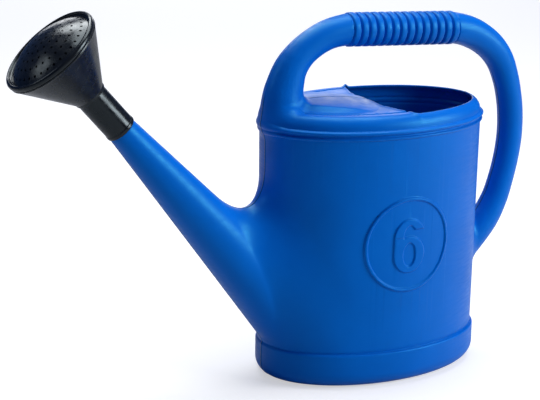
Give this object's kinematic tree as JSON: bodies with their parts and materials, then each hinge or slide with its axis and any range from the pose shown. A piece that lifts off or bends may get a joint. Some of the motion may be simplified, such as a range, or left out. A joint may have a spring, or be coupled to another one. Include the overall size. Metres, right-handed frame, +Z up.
{
  "type": "watering can",
  "caption": "Oval blow-moulded watering can with a closed front deck, long tapered spout, ribbed loop handle and a removable domed sprinkler rose.",
  "frame": {"origin": "middle of the tank's flat underside, on the ground", "axes": "+Z up; +X towards the back, where the handle comes down, so the spout points to -X; -Y is the side with the raised capacity badge"},
  "size_m": [0.5238, 0.146, 0.3561],
  "materials": {
    "blue_polyethylene": "semi-gloss blow-moulded polyethylene with fine mould ripples",
    "black_polypropylene": "semi-gloss injection-moulded black plastic"
  },
  "bodies": {
    "can": {"tank_floor": "blue_polyethylene", "tank_wall": "blue_polyethylene", "foot_band": "blue_polyethylene", "rim_bead": "blue_polyethylene", "rim_shoulder": "blue_polyethylene", "front_deck": "blue_polyethylene", "capacity_ring": "blue_polyethylene", "capacity_numeral": "blue_polyethylene", "spout_root": "blue_polyethylene", "spout_tube": "blue_polyethylene", "spout_spigot": "blue_polyethylene", "handle_front_post": "blue_polyethylene", "handle_grip": "blue_polyethylene", "handle_rear_post": "blue_polyethylene"},
    "collar": {"rose_collar": "black_polypropylene"},
    "rose_head": {"rose_cone": "black_polypropylene", "rose_plate": "black_polypropylene"}
  },
  "joints": [
    {"name": "rose_pull", "type": "slide", "parent": "can", "child": "collar", "axis": [-0.6613, 0, 0.7501], "range_m": [0, 0.045]},
    {"name": "rose_turn", "type": "hinge", "parent": "collar", "child": "rose_head", "pos_m": [-0.25617, 0, 0.25252], "axis": [-0.6613, 0, 0.7501], "continuous": true}
  ]
}
